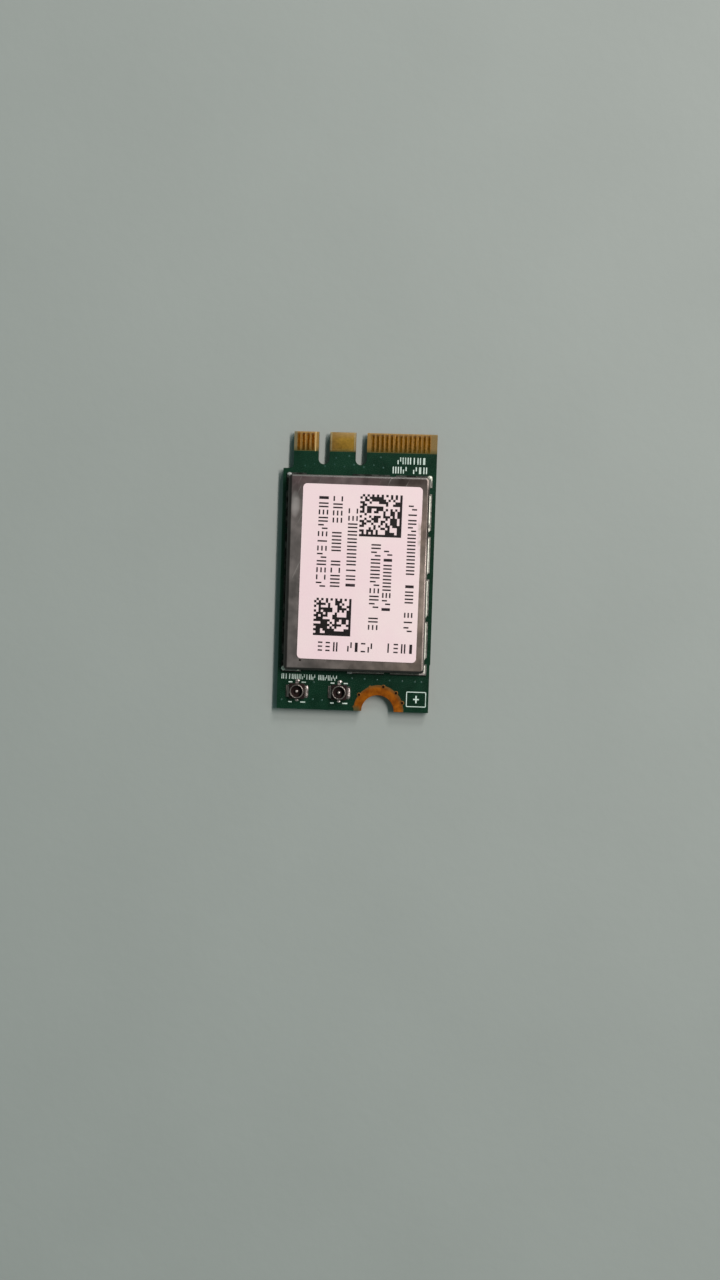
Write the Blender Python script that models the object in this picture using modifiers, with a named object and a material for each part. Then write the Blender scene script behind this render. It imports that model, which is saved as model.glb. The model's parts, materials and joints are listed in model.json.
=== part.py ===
# Wireless network card for a laptop: a small green board with a keyed row of edge contacts,
# a snap-on shield can over the radio, two antenna jacks and a plated half hole for one screw.
# Metres, +Z up. The origin is under the middle of the board, on its underside.
# +Y points at the edge contacts and +X runs across the card.

import math

import bmesh
import bpy
from mathutils import Matrix, Vector

MM = 0.001

# Board outline
board_width = 16.5 * MM
board_length = 30.0 * MM
board_thickness = 0.8 * MM
tongue_length = 4.0 * MM
tongue_step = 1.075 * MM
shoulder_fillet = 0.4 * MM
tongue_chamfer_length = 0.16 * MM
tongue_chamfer_depth = 0.12 * MM
break_step = 0.07 * MM
break_step_from_foot = 5.2 * MM

# Edge contacts, counted from the first one on the upper side
contact_pitch = 0.5 * MM
contact_width = 0.36 * MM
contact_corner = 0.1 * MM
contact_tip_margin = 0.17 * MM
contact_from_left = 1.6 * MM
bare_laminate_length = 2.05 * MM
copper_thickness = 0.035 * MM
left_contact_count = 4
right_contact_first = 16
right_contact_count = 13
contact_to_right_edge = 0.85 * MM
ground_pad_margin = 0.06 * MM
lower_contact_groups = ((0, 3), (7, 4), (15, 13))

# Key notches, as distances from the first contact
key_width = 1.2 * MM
key_depth = 3.5 * MM
key_distances = (2.75 * MM, 6.75 * MM)

# Screw half hole and its ground land
screw_hole_radius = 1.75 * MM
screw_land_radius = 2.75 * MM
screw_from_left = 10.95 * MM
hole_plating = 0.03 * MM

# Shield can: a soldered frame and the lid that snaps over it
lid_width = 15.1 * MM
lid_length = 20.95 * MM
lid_wall = 0.12 * MM
lid_corner = 0.45 * MM
lid_bend = 0.25 * MM
lid_skirt_lift = 0.24 * MM
can_from_foot = 4.28 * MM
frame_wall = 0.15 * MM
frame_flange = 0.75 * MM
frame_bridge = 1.3 * MM
window_corner = 0.3 * MM
foot_reach = 0.28 * MM
foot_height = 0.12 * MM
side_corner_foot = 1.25 * MM
side_foot = 3.9 * MM
side_foot_pitch = 4.57 * MM
side_foot_count = 4
left_corner_foot = 2.1 * MM
right_corner_foot = 3.9 * MM
end_foot = 4.0 * MM
end_foot_gap = 0.65 * MM
tallest_component = 0.85 * MM
can_headroom = 0.07 * MM

# Product label
label_width = 12.7 * MM
label_length = 18.75 * MM
label_thickness = 0.06 * MM
label_corner = 0.45 * MM
label_turn = math.radians(-0.5)
label_shift = Vector((0.31 * MM, 0.09 * MM))

# Antenna jacks
jack_from_left = 2.18 * MM
jack_spacing = 4.57 * MM
jack_from_foot = 1.94 * MM
jack_count = 2
housing_side = 1.64 * MM
housing_height = 0.42 * MM
housing_bevel = 0.04 * MM
ring_radius = 0.74 * MM
ring_wall = 0.13 * MM
ring_height = 0.85 * MM
ring_groove = 0.04 * MM
ring_rim = 0.12 * MM
ring_seat = 0.2 * MM
ground_tab_width = 1.3 * MM
ground_tab_reach = 1.2 * MM
tab_metal = 0.08 * MM
pin_radius = 0.13 * MM
pin_height = 0.7 * MM
pin_tail_width = 0.34 * MM
pin_tail_reach = 1.22 * MM

# Parts under the can: width, length and height, then the height of a lid or the length of a terminal
radio_side = 6.5 * MM
radio_height = 0.75 * MM
memory_size = (3.0 * MM, 2.0 * MM, 0.55 * MM)
front_end_size = (2.6 * MM, 2.6 * MM, 0.6 * MM)
crystal_size = (2.0 * MM, 2.5 * MM, 0.35 * MM, 0.15 * MM)
filter_size = (1.4 * MM, 1.1 * MM, 0.35 * MM, 0.1 * MM)
inductor_size = (2.5 * MM, 2.0 * MM, tallest_component, 0.5 * MM)
diplexer_size = (1.6 * MM, 0.8 * MM, 0.6 * MM, 0.32 * MM)
capacitor_size = (1.0 * MM, 0.5 * MM, 0.5 * MM, 0.2 * MM)
resistor_size = (1.0 * MM, 0.5 * MM, 0.35 * MM, 0.2 * MM)
package_edge = 0.08 * MM
package_inset = 0.15 * MM
terminal_collar = 0.04 * MM
inductor_count = 2
filter_pitch = 1.6 * MM
capacitor_pitch = 1.15 * MM
resistor_pitch = 0.8 * MM
side_capacitor_count = 6
upper_capacitor_count = 4
resistor_count = 5

# Clearances
wall_clearance = 0.5 * MM
part_clearance = 0.4 * MM
solder_film = 0.015 * MM
fit_gap = 0.03 * MM
pocket_gap = 0.01 * MM
mould_gap = 0.012 * MM
weld_step = 0.008 * MM
weld_distance = 0.0001 * MM

# Facets and shading
full_circle = 48
half_circle = full_circle // 2
quarter_circle = 6
bend_steps = 4
small_corner_steps = 3
smooth_below = math.radians(35)
cut_over = 1.0 * MM

# Derived places
board_left = -board_width / 2
board_right = board_width / 2
board_foot = -board_length / 2
board_tip = board_length / 2
board_top = board_thickness
shoulder_y = board_tip - tongue_length
tongue_left = board_left + tongue_step
first_contact_x = board_left + contact_from_left
mask_edge_y = board_tip - bare_laminate_length
contact_tip_y = board_tip - contact_tip_margin
recess_depth = copper_thickness + pocket_gap
screw_centre = Vector((board_left + screw_from_left, board_foot))
part_seat = board_top + solder_film
flange_bottom = board_top + tallest_component + can_headroom
flange_top = flange_bottom + frame_wall
lid_inside = flange_top + solder_film
lid_top = lid_inside + lid_wall
can_middle = board_foot + can_from_foot + lid_length / 2
frame_corner = lid_corner - lid_wall
frame_bend = lid_bend - lid_wall + fit_gap
frame_half_width = lid_width / 2 - lid_wall - fit_gap
frame_half_length = lid_length / 2 - lid_wall - fit_gap
foot_half_width = lid_width / 2 + foot_reach
foot_half_length = lid_length / 2 + foot_reach
room_half_width = frame_half_width - frame_wall
room_half_length = frame_half_length - frame_wall
room_foot = can_middle - room_half_length
room_far_end = can_middle + room_half_length
diplexer_y = room_foot + wall_clearance + diplexer_size[1] / 2
front_end_y = diplexer_y + diplexer_size[1] / 2 + part_clearance + front_end_size[1] / 2
radio_y = (front_end_y + front_end_size[1] / 2 + room_far_end - wall_clearance - crystal_size[1]) / 2


def clear_scene():
    for item in list(bpy.data.objects):
        bpy.data.objects.remove(item, do_unlink=True)


def new_collection(name):
    group = bpy.data.collections.new(name)
    bpy.context.scene.collection.children.link(group)
    return group


clear_scene()
card = new_collection("wireless_card")
cutters = new_collection("cutters")
cutters.hide_render = True


def material(name, colour, roughness, metallic=0.0):
    made = bpy.data.materials.new(name)
    made.use_nodes = True
    shader = made.node_tree.nodes["Principled BSDF"]
    shader.inputs["Base Color"].default_value = (*colour, 1.0)
    shader.inputs["Roughness"].default_value = roughness
    shader.inputs["Metallic"].default_value = metallic
    return made


solder_mask = material("solder_mask", (0.006, 0.035, 0.018), 0.4)
contact_gold = material("contact_gold", (0.23, 0.11, 0.02), 0.4, 1.0)
ground_copper = material("ground_copper", (0.45, 0.10, 0.01), 0.45, 0.9)
tinned_steel = material("tinned_steel", (0.30, 0.27, 0.25), 0.35, 1.0)
label_paper = material("label_paper", (0.86, 0.74, 0.76), 0.6)
dark_moulding = material("dark_moulding", (0.015, 0.010, 0.009), 0.5)
jack_metal = material("jack_metal", (0.40, 0.34, 0.30), 0.3, 1.0)
chip_moulding = material("chip_moulding", (0.02, 0.02, 0.022), 0.55)
chip_ceramic = material("chip_ceramic", (0.35, 0.24, 0.15), 0.6)


def link_solid(mesh, name, finish):
    mesh.shade_smooth()
    mesh.set_sharp_from_angle(angle=smooth_below)
    mesh.materials.clear()
    if finish:
        mesh.materials.append(finish)
    made = bpy.data.objects.new(name, mesh)
    card.objects.link(made)
    return made


def as_cutter(item):
    for group in list(item.users_collection):
        group.objects.unlink(item)
    cutters.objects.link(item)
    item.hide_render = True
    item.display_type = "WIRE"
    return item


def combine(target, other, operation):
    """Joins, cuts or intersects the target with a helper solid."""
    as_cutter(other)
    step = target.modifiers.new(other.name, "BOOLEAN")
    step.object = other
    step.operation = operation
    step.solver = "EXACT"
    return target


def mesh_from(shape, name):
    mesh = bpy.data.meshes.new(name)
    shape.to_mesh(mesh)
    shape.free()
    return mesh


def mesh_of_guide(guide, name):
    """Turns a guide curve or profile into a welded mesh at its place, and removes the guide."""
    card.objects.link(guide)
    bpy.context.view_layer.update()
    evaluated = guide.evaluated_get(bpy.context.evaluated_depsgraph_get())
    raw = bpy.data.meshes.new_from_object(evaluated)
    shape = bmesh.new()
    shape.from_mesh(raw)
    bmesh.ops.remove_doubles(shape, verts=shape.verts, dist=weld_distance)
    shape.transform(guide.matrix_world)
    bmesh.ops.recalc_face_normals(shape, faces=shape.faces)
    bpy.data.objects.remove(guide, do_unlink=True)
    bpy.data.meshes.remove(raw)
    return mesh_from(shape, name)


def box_shape(low, high):
    shape = bmesh.new()
    bmesh.ops.create_cube(shape, size=1.0)
    size = Vector(high) - Vector(low)
    bmesh.ops.scale(shape, vec=size, verts=shape.verts)
    bmesh.ops.translate(shape, vec=(Vector(low) + Vector(high)) / 2, verts=shape.verts)
    return shape


def flat_length(edge):
    return (edge.verts[0].co.xy - edge.verts[1].co.xy).length


def upright_edges(shape):
    return [e for e in shape.edges if abs(e.verts[0].co.z - e.verts[1].co.z) > flat_length(e)]


def top_edges(shape):
    level = max(v.co.z for v in shape.verts) - weld_distance
    return [e for e in shape.edges if all(v.co.z > level for v in e.verts)]


def round_edges(shape, edges, radius, segments):
    bmesh.ops.bevel(
        shape, geom=edges, offset=radius, segments=segments, profile=0.5, affect="EDGES", clamp_overlap=True
    )


def box(name, low, high, finish, corner=0.0, top_bevel=0.0, segments=2, bevel_segments=1):
    shape = box_shape(low, high)
    if corner:
        round_edges(shape, upright_edges(shape), corner, segments)
    if top_bevel:
        round_edges(shape, top_edges(shape), top_bevel, bevel_segments)
    return link_solid(mesh_from(shape, name), name, finish)


def cylinder(name, centre, radius, bottom, top, finish=None, facets=full_circle):
    shape = bmesh.new()
    bmesh.ops.create_cone(
        shape, cap_ends=True, segments=facets, radius1=radius, radius2=radius, depth=top - bottom
    )
    bmesh.ops.translate(shape, vec=(centre[0], centre[1], (top + bottom) / 2), verts=shape.verts)
    return link_solid(mesh_from(shape, name), name, finish)


def arc(centre, radius, start, end, steps):
    """Points along an arc, in degrees, both ends included."""
    turns = [math.radians(start + (end - start) * i / steps) for i in range(steps + 1)]
    return [(centre[0] + radius * math.cos(t), centre[1] + radius * math.sin(t)) for t in turns]


def flat_solid(name, outline, bottom, top, finish):
    """A closed plate from a 2D outline, made a mesh so that it can be cut and joined."""
    curve = bpy.data.curves.new(name, "CURVE")
    curve.dimensions = "2D"
    curve.fill_mode = "BOTH"
    curve.extrude = (top - bottom) / 2
    spline = curve.splines.new("POLY")
    spline.points.add(len(outline) - 1)
    for point, place in zip(spline.points, outline):
        point.co = (place[0], place[1], 0.0, 1.0)
    spline.use_cyclic_u = True
    guide = bpy.data.objects.new(name + "_outline", curve)
    guide.location.z = (top + bottom) / 2
    return link_solid(mesh_of_guide(guide, name), name, finish)


def turned(name, centre, profile, finish):
    """A closed profile of radius and height, revolved about the upright line at centre."""
    shape = bmesh.new()
    ring = [shape.verts.new((radius, 0.0, height)) for radius, height in profile]
    for first, second in zip(ring, ring[1:] + ring[:1]):
        shape.edges.new((first, second))
    guide = bpy.data.objects.new(name + "_profile", mesh_from(shape, name + "_profile"))
    guide.location = (centre[0], centre[1], 0.0)
    screw = guide.modifiers.new("turn", "SCREW")
    screw.steps = full_circle
    screw.render_steps = full_circle
    screw.use_merge_vertices = True
    screw.merge_threshold = weld_distance
    return link_solid(mesh_of_guide(guide, name), name, finish)


def rounded_outline(centre, half_width, half_length, radius, turn=0.0):
    corners = ((1, 1, 0), (-1, 1, 90), (-1, -1, 180), (1, -1, 270))
    points = []
    for side, end, start in corners:
        corner = (side * (half_width - radius), end * (half_length - radius))
        points += arc(corner, radius, start, start + 90, quarter_circle)
    rotation = Matrix.Rotation(turn, 2)
    return [rotation @ Vector(point) + Vector(centre) for point in points]


def contact_x(step):
    return first_contact_x + contact_pitch * step


def fits_on_board(step):
    return contact_x(step) <= board_right - contact_to_right_edge


def key_centres():
    return [first_contact_x + distance for distance in key_distances]


# Board

def key_outline(centre_x):
    """A key notch from its right lip, round its bottom, to its left lip."""
    radius = key_width / 2
    bottom = (centre_x, board_tip - key_depth + radius)
    right_lip = (centre_x + radius, board_tip)
    left_lip = (centre_x - radius, board_tip)
    return [right_lip] + arc(bottom, radius, 0, -180, half_circle // 2) + [left_lip]


def board_outline():
    lower_right = board_right - break_step
    step_y = board_foot + break_step_from_foot
    hole_radius = screw_hole_radius + hole_plating + pocket_gap
    points = [(board_left, board_foot)]
    points += arc(screw_centre, hole_radius, 180, 0, half_circle)
    points += [(lower_right, board_foot), (lower_right, step_y), (board_right, step_y), (board_right, board_tip)]
    for centre_x in reversed(key_centres()):
        points += key_outline(centre_x)
    points.append((tongue_left, board_tip))
    fillet = (tongue_left - shoulder_fillet, shoulder_y + shoulder_fillet)
    points += arc(fillet, shoulder_fillet, 0, -90, quarter_circle)
    points.append((board_left, shoulder_y))
    return points


def recess_cutter(name, bottom, top):
    low = (board_left - cut_over, mask_edge_y, bottom)
    high = (board_right + cut_over, board_tip + cut_over, top)
    return box(name, low, high, None)


def chamfer_cutter(name, level, inward):
    """A wedge that takes the corner off the tongue's end, above or below."""
    reach = tongue_chamfer_length + cut_over
    rise = tongue_chamfer_depth * reach / tongue_chamfer_length
    low = (board_left - cut_over, board_tip - tongue_chamfer_length, level - cut_over)
    high = (board_right + cut_over, board_tip + cut_over, level + cut_over)
    shape = box_shape(low, high)
    face_level = min(v.co.z * inward for v in shape.verts) * inward
    for vertex in shape.verts:
        if abs(vertex.co.z - face_level) < pocket_gap:
            continue
        vertex.co.z = level
        if vertex.co.y > board_tip:
            vertex.co.z = level + inward * rise
    return link_solid(mesh_from(shape, name), name, None)


def lower_lands():
    """The underside's contacts, all in one helper mesh, sunk into the board that carries them."""
    shape = bmesh.new()
    steps = [first + index + 0.5 for first, count in lower_contact_groups for index in range(count)]
    for step in filter(fits_on_board, steps):
        middle = contact_x(step)
        low = (middle - contact_width / 2, mask_edge_y + fit_gap, 0.0)
        high = (middle + contact_width / 2, contact_tip_y, recess_depth + copper_thickness)
        piece = mesh_from(box_shape(low, high), "land")
        shape.from_mesh(piece)
        bpy.data.meshes.remove(piece)
    return link_solid(mesh_from(shape, "lower_lands"), "lower_lands", None)


def circuit_board():
    board = flat_solid("circuit_board", board_outline(), 0.0, board_top, solder_mask)
    combine(board, recess_cutter("upper_recess", board_top - recess_depth, board_top + cut_over), "DIFFERENCE")
    combine(board, recess_cutter("lower_recess", -cut_over, recess_depth), "DIFFERENCE")
    pocket_radius = screw_land_radius + pocket_gap
    upper = cylinder("upper_pocket", screw_centre, pocket_radius, board_top - recess_depth, board_top + cut_over)
    lower = cylinder("lower_pocket", screw_centre, pocket_radius, -cut_over, recess_depth)
    combine(board, upper, "DIFFERENCE")
    combine(board, lower, "DIFFERENCE")
    combine(board, chamfer_cutter("upper_chamfer", board_top - recess_depth, -1), "DIFFERENCE")
    combine(board, chamfer_cutter("lower_chamfer", recess_depth, 1), "DIFFERENCE")
    combine(board, lower_lands(), "UNION")
    return board


# Contacts and ground land

def finger_mesh():
    half = contact_width / 2
    tip = contact_tip_y
    outline = [(-half, mask_edge_y + fit_gap), (half, mask_edge_y + fit_gap)]
    outline += arc((half - contact_corner, tip - contact_corner), contact_corner, 0, 90, small_corner_steps)
    outline += arc((contact_corner - half, tip - contact_corner), contact_corner, 90, 180, small_corner_steps)
    first = flat_solid("finger", outline, board_top - copper_thickness, board_top, contact_gold)
    mesh = first.data
    bpy.data.objects.remove(first, do_unlink=True)
    return mesh


def edge_contacts():
    shared = finger_mesh()
    left = range(left_contact_count)
    right = range(right_contact_first, right_contact_first + right_contact_count)
    for step in filter(fits_on_board, [*left, *right]):
        finger = bpy.data.objects.new(f"contact_{2 * step + 1:02d}", shared)
        finger.location.x = contact_x(step)
        card.objects.link(finger)


def ground_pad():
    """The one wide pad that fills the space between the two key notches."""
    left, right = key_centres()
    low = (left + key_width / 2 + ground_pad_margin, mask_edge_y + fit_gap, board_top - copper_thickness)
    high = (right - key_width / 2 - ground_pad_margin, contact_tip_y, board_top)
    box("wide_ground_contact", low, high, contact_gold, corner=contact_corner)


def screw_ground_ring():
    """Upper land, lower land and the plating of the half hole between them, as one piece."""
    inner = screw_hole_radius
    outer = screw_land_radius
    wall = inner + hole_plating
    copper_top = board_top - copper_thickness
    profile = (
        (outer, copper_top), (wall, copper_top), (wall, copper_thickness), (outer, copper_thickness),
        (outer, 0.0), (inner, 0.0), (inner, board_top), (outer, board_top),
    )
    ring = turned("screw_ground_ring", screw_centre, profile, ground_copper)
    low = (screw_centre.x - outer - cut_over, board_foot - outer - cut_over, -cut_over)
    high = (screw_centre.x + outer + cut_over, board_foot, board_top + cut_over)
    return combine(ring, box("beyond_the_edge", low, high, None), "DIFFERENCE")


# Shield can

def shield_lid():
    """An open box with rounded bends, given its wall inwards."""
    low = (-lid_width / 2, can_middle - lid_length / 2, board_top + lid_skirt_lift)
    high = (lid_width / 2, can_middle + lid_length / 2, lid_top)
    shape = box_shape(low, high)
    floor = [f for f in shape.faces if f.normal.z < -0.5]
    bmesh.ops.delete(shape, geom=floor, context="FACES_ONLY")
    round_edges(shape, upright_edges(shape), lid_corner, quarter_circle)
    round_edges(shape, top_edges(shape), lid_bend, bend_steps)
    lid = link_solid(mesh_from(shape, "shield_lid"), "shield_lid", tinned_steel)
    wall = lid.modifiers.new("wall", "SOLIDIFY")
    wall.thickness = lid_wall
    wall.offset = -1.0
    wall.use_even_offset = True
    return lid


def foot_box(name, x_range, y_range):
    low = (min(x_range), min(y_range), part_seat)
    high = (max(x_range), max(y_range), part_seat + foot_height)
    return box(name, low, high, None)


def frame_feet():
    """The places of the feet that turn out under the lid's skirt and are soldered to the board."""
    inner_x = frame_half_width - frame_wall / 2
    inner_y = frame_half_length - frame_wall / 2
    end_foot_right = foot_half_width - right_corner_foot - end_foot_gap
    feet = []
    for side in (-1, 1):
        x_range = (side * inner_x, side * foot_half_width)
        for index in range(side_foot_count):
            middle = can_middle + (index - (side_foot_count - 1) / 2) * side_foot_pitch
            feet.append((x_range, (middle - side_foot / 2, middle + side_foot / 2)))
        for end in (-1, 1):
            corner = can_middle + end * foot_half_length
            feet.append((x_range, (corner - end * side_corner_foot, corner)))
    for end in (-1, 1):
        y_range = (can_middle + end * inner_y, can_middle + end * foot_half_length)
        feet.append(((-foot_half_width, left_corner_foot - foot_half_width), y_range))
        feet.append(((end_foot_right - end_foot, end_foot_right), y_range))
        feet.append(((foot_half_width - right_corner_foot, foot_half_width), y_range))
    return feet


def shield_frame():
    low = (-frame_half_width, can_middle - frame_half_length, part_seat)
    high = (frame_half_width, can_middle + frame_half_length, flange_top)
    frame = box("shield_frame", low, high, tinned_steel, frame_corner, frame_bend, quarter_circle, bend_steps)
    low = (-room_half_width, can_middle - room_half_length, board_top - cut_over)
    high = (room_half_width, can_middle + room_half_length, flange_bottom)
    combine(frame, box("frame_room", low, high, None), "DIFFERENCE")
    bridge_edge = frame_bridge / 2
    for end in (-1, 1):
        y_near = can_middle + end * bridge_edge
        y_far = can_middle + end * (room_half_length - frame_flange)
        low = (frame_flange - room_half_width, min(y_near, y_far), board_top)
        high = (room_half_width - frame_flange, max(y_near, y_far), flange_top + cut_over)
        window = box(f"frame_window_{end}", low, high, None, corner=window_corner, segments=small_corner_steps)
        combine(frame, window, "DIFFERENCE")
    for number, (x_range, y_range) in enumerate(frame_feet()):
        combine(frame, foot_box(f"frame_foot_{number}", x_range, y_range), "UNION")
    return frame


def product_label():
    centre = label_shift + Vector((0.0, can_middle))
    outline = rounded_outline(centre, label_width / 2, label_length / 2, label_corner, label_turn)
    bottom = lid_top + pocket_gap
    return flat_solid("product_label", outline, bottom, bottom + label_thickness, label_paper)


# Antenna jacks

def jack_centre(index):
    return Vector((board_left + jack_from_left + index * jack_spacing, board_foot + jack_from_foot))


def ring_profile(gap):
    """The jack's outer contact, with the groove that the plug snaps into; gap makes it a cutter."""
    top = board_top + ring_height
    bottom = board_top + ring_seat - gap
    outer = ring_radius + gap
    inner = ring_radius - ring_wall - gap
    groove = outer - ring_groove
    if gap:
        return ((outer, top), (outer, bottom), (inner, bottom), (inner, top))
    groove_top = top - ring_rim
    groove_bottom = top - 2 * ring_rim
    waist = ((outer, top), (outer, groove_top), (groove, groove_top), (groove, groove_bottom))
    return waist + ((outer, groove_bottom), (outer, bottom), (inner, bottom), (inner, top))


def bore_of_ring(name, centre):
    """A core that ends inside the ring's wall, so that a strap cut by it meets the ring."""
    return cylinder(name, centre, ring_radius - ring_wall / 2, board_top - cut_over, board_top + cut_over)


def strap_outline():
    """The ground strap seen along the card: out through the housing, down to the board and outwards."""
    arm_bottom = board_top + ring_seat + weld_step
    arm_top = arm_bottom + tab_metal
    leg_inner = housing_side / 2 + fit_gap
    leg_outer = leg_inner + tab_metal
    tab_top = part_seat + tab_metal
    right = [
        (leg_outer, arm_top), (leg_outer, tab_top), (ground_tab_reach, tab_top), (ground_tab_reach, part_seat),
        (leg_inner, part_seat), (leg_inner, arm_bottom),
    ]
    left = [(-x, z) for x, z in reversed(right)]
    return right + left


def ground_strap(name, centre):
    strap = flat_solid(name, strap_outline(), -ground_tab_width / 2, ground_tab_width / 2, None)
    strap.data.transform(Matrix.Rotation(math.radians(90), 4, "X"))
    strap.data.transform(Matrix.Translation((centre.x, centre.y, 0.0)))
    return combine(strap, bore_of_ring(name + "_bore", centre), "DIFFERENCE")


def jack_ring(number, centre):
    name = f"jack_ring_{number}"
    ring = turned(name, centre, ring_profile(0.0), jack_metal)
    return combine(ring, ground_strap(name + "_strap", centre), "UNION")


def pin_tail(name, centre, gap):
    low = (centre.x - pin_tail_width / 2 - gap, centre.y - pin_tail_width / 2 - gap, part_seat - gap)
    high = (centre.x + pin_tail_width / 2 + gap, centre.y + pin_tail_reach + gap, part_seat + tab_metal + gap)
    return box(name, low, high, jack_metal)


def jack_pin(number, centre):
    name = f"jack_pin_{number}"
    pin = pin_tail(name, centre, 0.0)
    post_bottom = part_seat + tab_metal / 2
    post = cylinder(f"{name}_post", centre, pin_radius, post_bottom, board_top + pin_height, facets=half_circle)
    return combine(pin, post, "UNION")


def strap_slot(name, centre):
    """The clearance slots through the housing's two sides for the ground strap."""
    bottom = board_top + ring_seat + weld_step - mould_gap
    half_width = ground_tab_width / 2 + mould_gap
    low = (centre.x - housing_side, centre.y - half_width, bottom)
    high = (centre.x + housing_side, centre.y + half_width, bottom + tab_metal + 2 * mould_gap)
    slot = box(name, low, high, None)
    return combine(slot, bore_of_ring(name + "_core", centre), "DIFFERENCE")


def jack_housing(number, centre):
    name = f"jack_housing_{number}"
    half = housing_side / 2
    low = (centre.x - half, centre.y - half, part_seat)
    high = (centre.x + half, centre.y + half, board_top + housing_height)
    housing = box(name, low, high, dark_moulding, corner=housing_bevel, top_bevel=housing_bevel)
    groove = turned(f"{name}_groove", centre, ring_profile(mould_gap), None)
    combine(housing, groove, "DIFFERENCE")
    combine(housing, strap_slot(f"{name}_slot", centre), "DIFFERENCE")
    tail = pin_tail(f"{name}_tail", centre, mould_gap)
    combine(housing, tail, "DIFFERENCE")
    hole = cylinder(f"{name}_hole", centre, pin_radius + mould_gap, board_top, board_top + cut_over, facets=half_circle)
    combine(housing, hole, "DIFFERENCE")
    return housing


def antenna_jacks():
    for index in range(jack_count):
        centre = jack_centre(index)
        jack_housing(index + 1, centre)
        jack_ring(index + 1, centre)
        jack_pin(index + 1, centre)


# Parts under the shield can

def box_at(place, width, length, height):
    """A box that stands on its solder film, with place at the middle of its underside."""
    low = (place[0] - width / 2, place[1] - length / 2, part_seat)
    high = (place[0] + width / 2, place[1] + length / 2, part_seat + height)
    return box_shape(low, high)


def package(name, place, size):
    """A moulded package with a broken top edge."""
    shape = box_at(place, *size)
    round_edges(shape, top_edges(shape), package_edge, 1)
    return link_solid(mesh_from(shape, name), name, chip_moulding)


def lidded_package(name, place, size):
    """A ceramic base with a smaller metal lid, such as a crystal or a filter."""
    width, length, base_height, lid_height = size
    shape = box_at(place, width, length, base_height)
    top = [f for f in shape.faces if f.normal.z > 0.5]
    bmesh.ops.inset_region(shape, faces=top, thickness=package_inset, use_even_offset=True)
    raised = bmesh.ops.extrude_face_region(shape, geom=top)
    moved = [v for v in raised["geom"] if isinstance(v, bmesh.types.BMVert)]
    bmesh.ops.translate(shape, vec=(0.0, 0.0, lid_height), verts=moved)
    bmesh.ops.delete(shape, geom=top, context="FACES_ONLY")
    return link_solid(mesh_from(shape, name), name, tinned_steel)


def widen_and_extrude(shape, face, body_half, side, terminal):
    """Steps an end face out to the collar round the terminal, then draws the terminal outwards."""
    collar = bmesh.ops.extrude_face_region(shape, geom=face)
    bmesh.ops.delete(shape, geom=face, context="FACES_ONLY")
    for vertex in [v for v in collar["geom"] if isinstance(v, bmesh.types.BMVert)]:
        vertex.co.y *= 1 + terminal_collar / body_half.y
        vertex.co.z *= 1 + terminal_collar / body_half.z
    outer = [f for f in collar["geom"] if isinstance(f, bmesh.types.BMFace)]
    end = bmesh.ops.extrude_face_region(shape, geom=outer)
    bmesh.ops.delete(shape, geom=outer, context="FACES_ONLY")
    tip = [v for v in end["geom"] if isinstance(v, bmesh.types.BMVert)]
    bmesh.ops.translate(shape, vec=(side * terminal, 0.0, 0.0), verts=tip)


def chip_component(name, place, size, finish, upright=False):
    """A two-terminal chip part: a body between two slightly larger terminals."""
    length, width, height, terminal = size
    body_half = Vector((length / 2 - terminal, width / 2 - terminal_collar, height / 2 - terminal_collar))
    shape = box_shape(-body_half, body_half)
    ends = [(side, [f for f in shape.faces if f.normal.x * side > 0.5]) for side in (-1, 1)]
    for side, face in ends:
        widen_and_extrude(shape, face, body_half, side, terminal)
    if upright:
        shape.transform(Matrix.Rotation(math.radians(90), 4, "Z"))
    bmesh.ops.translate(shape, vec=(place[0], place[1], part_seat + height / 2), verts=shape.verts)
    bmesh.ops.recalc_face_normals(shape, faces=shape.faces)
    return link_solid(mesh_from(shape, name), name, finish)


def antenna_parts():
    """Each antenna's diplexer and front end, in one column behind the other, and the memory beside them."""
    for index in range(jack_count):
        column = wall_clearance + front_end_size[0] / 2 - room_half_width + index * jack_spacing
        chip_component(f"diplexer_{index + 1}", (column, diplexer_y), diplexer_size, chip_ceramic)
        package(f"front_end_{index + 1}", (column, front_end_y), front_end_size)
    package("memory_chip", (room_half_width - wall_clearance - memory_size[0] / 2, front_end_y), memory_size)


def radio_parts():
    """The radio chip with its filters and resistors on the left and capacitors on the right and above."""
    package("radio_chip", (0.0, radio_y), (radio_side, radio_side, radio_height))
    radio_edge = radio_side / 2 + part_clearance
    filter_x = -radio_edge - filter_size[0] / 2
    filter_y = radio_y + (radio_side - filter_size[1]) / 2
    resistor_y = filter_y - jack_count * filter_pitch
    for index in range(jack_count):
        lidded_package(f"band_filter_{index + 1}", (filter_x, filter_y - index * filter_pitch), filter_size)
    for index in range(resistor_count):
        place = (filter_x, resistor_y - index * resistor_pitch)
        chip_component(f"resistor_{index + 1}", place, resistor_size, chip_moulding)
    for index in range(side_capacitor_count):
        offset = (index - (side_capacitor_count - 1) / 2) * capacitor_pitch
        place = (radio_edge + capacitor_size[0] / 2, radio_y - offset)
        chip_component(f"capacitor_{index + 1}", place, capacitor_size, chip_ceramic)
    for index in range(upper_capacitor_count):
        offset = (index - (upper_capacitor_count - 1) / 2) * capacitor_pitch
        place = (offset, radio_y + radio_edge + capacitor_size[0] / 2)
        number = side_capacitor_count + index + 1
        chip_component(f"capacitor_{number}", place, capacitor_size, chip_ceramic, upright=True)


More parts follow.
